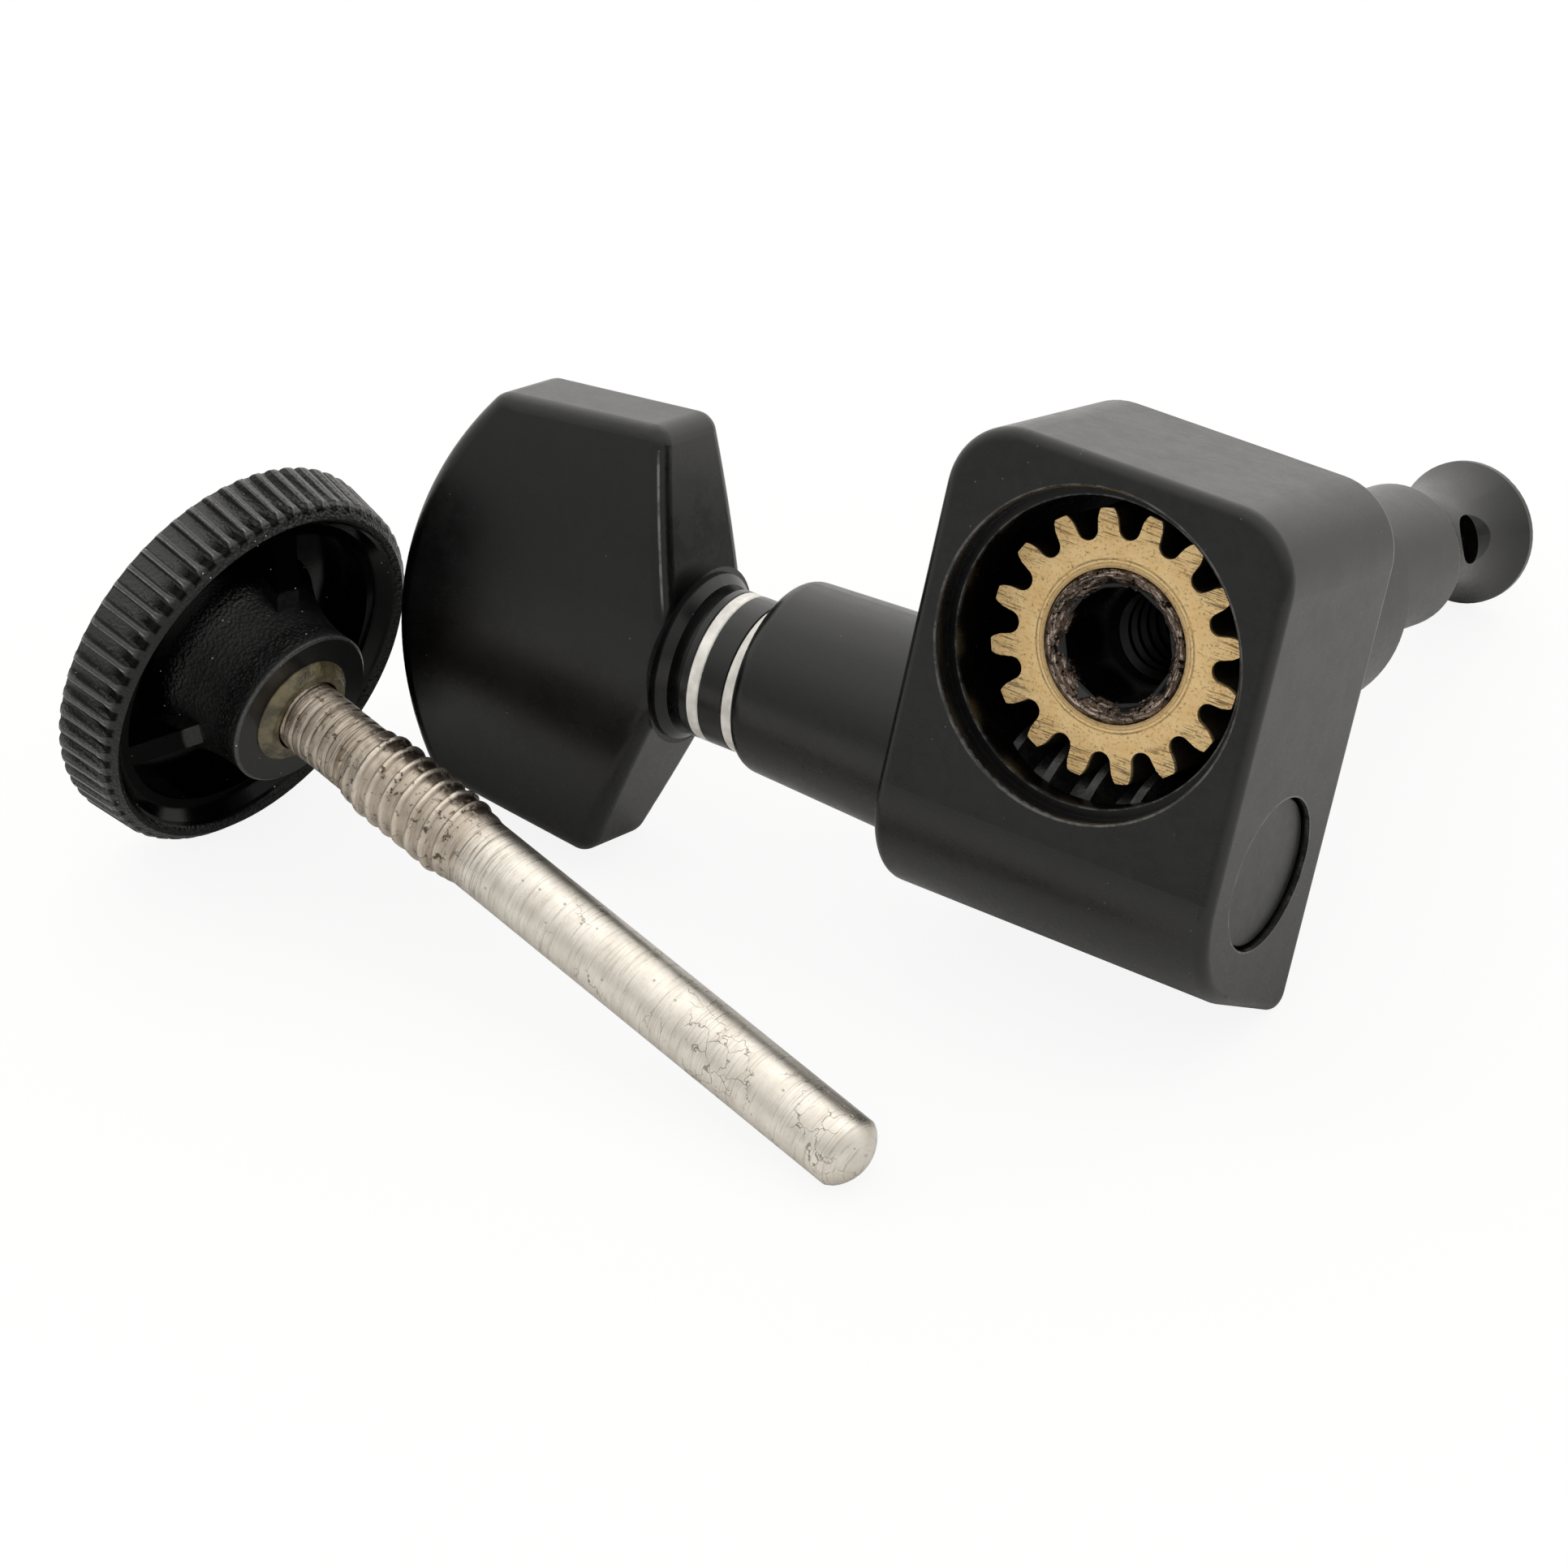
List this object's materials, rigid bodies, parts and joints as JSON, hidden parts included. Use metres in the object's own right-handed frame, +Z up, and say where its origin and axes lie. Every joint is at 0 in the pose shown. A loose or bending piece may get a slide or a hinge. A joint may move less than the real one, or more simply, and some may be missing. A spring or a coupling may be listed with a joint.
{
  "type": "guitar tuning machine",
  "caption": "Guitar tuning machine: worm-driven hollow string post, crowned button, sealed case open at the back, and a separate fluted thumb screw that clamps the string.",
  "frame": {"origin": "centre of the part's outline on the table, at table height", "axes": "+Z up from the table; the string post points to +Y and a little down; the button lies to -X; the open back of the case faces -Y and a little up"},
  "size_m": [0.0482, 0.0504, 0.0239],
  "materials": {
    "case_black": "satin black, fine specks",
    "button_black": "satin black",
    "post_black": "satin dark grey, bare and worn at the rear rim",
    "wheel_brass": "turned, lightly pitted",
    "worm_steel": "dark oiled steel",
    "bearing_bronze": "plain",
    "washer_pale": "matte pale grey",
    "spacer_black": "matte black",
    "washer_steel": "plain",
    "plug_black": "satin black",
    "knob_black": "fine texture",
    "rod_nickel": "worn, brushed round the axis",
    "glue_yellow": "clouded",
    "screw_steel": "dark"
  },
  "bodies": {
    "case": {"gear_case": "case_black", "boss_sleeve": "bearing_bronze", "wheel_thrust_washer": "washer_steel", "neck_sleeve": "bearing_bronze", "worm_thrust_washer": "washer_steel", "worm_plug": "plug_black", "worm_end_washer": "washer_steel", "inner_washer": "washer_pale", "spacer_ring": "spacer_black", "outer_washer": "washer_pale", "collar_washer": "spacer_black", "locating_pin_near": "case_black", "locating_pin_far": "case_black"},
    "post": {"string_post": "post_black", "worm_wheel": "wheel_brass"},
    "shaft": {"worm_shaft": "worm_steel", "button": "button_black", "button_screw": "screw_steel"},
    "thumb_screw": {"thumb_knob": "knob_black", "lock_rod": "rod_nickel", "glue_bead": "glue_yellow"}
  },
  "joints": [
    {"name": "button_turn", "type": "hinge", "parent": "case", "child": "shaft", "pos_m": [0.01592, -0.00771, 0.00824], "axis": [-0.9988, 0, 0.0491], "continuous": true},
    {"name": "post_turn", "type": "hinge", "parent": "case", "child": "post", "pos_m": [0.01615, -0.00035, 0.01302], "axis": [-0.019, 0.9224, -0.3858], "continuous": true},
    {"name": "thumb_screw_turn", "type": "hinge", "parent": "case", "child": "thumb_screw", "pos_m": [-0.02184, -0.01593, 0.00856], "axis": [0.9597, -0.2079, -0.1891], "continuous": true}
  ],
  "couplings": [
    {"joint": "post_turn", "follows": "button_turn", "ratio": 0.0625}
  ]
}
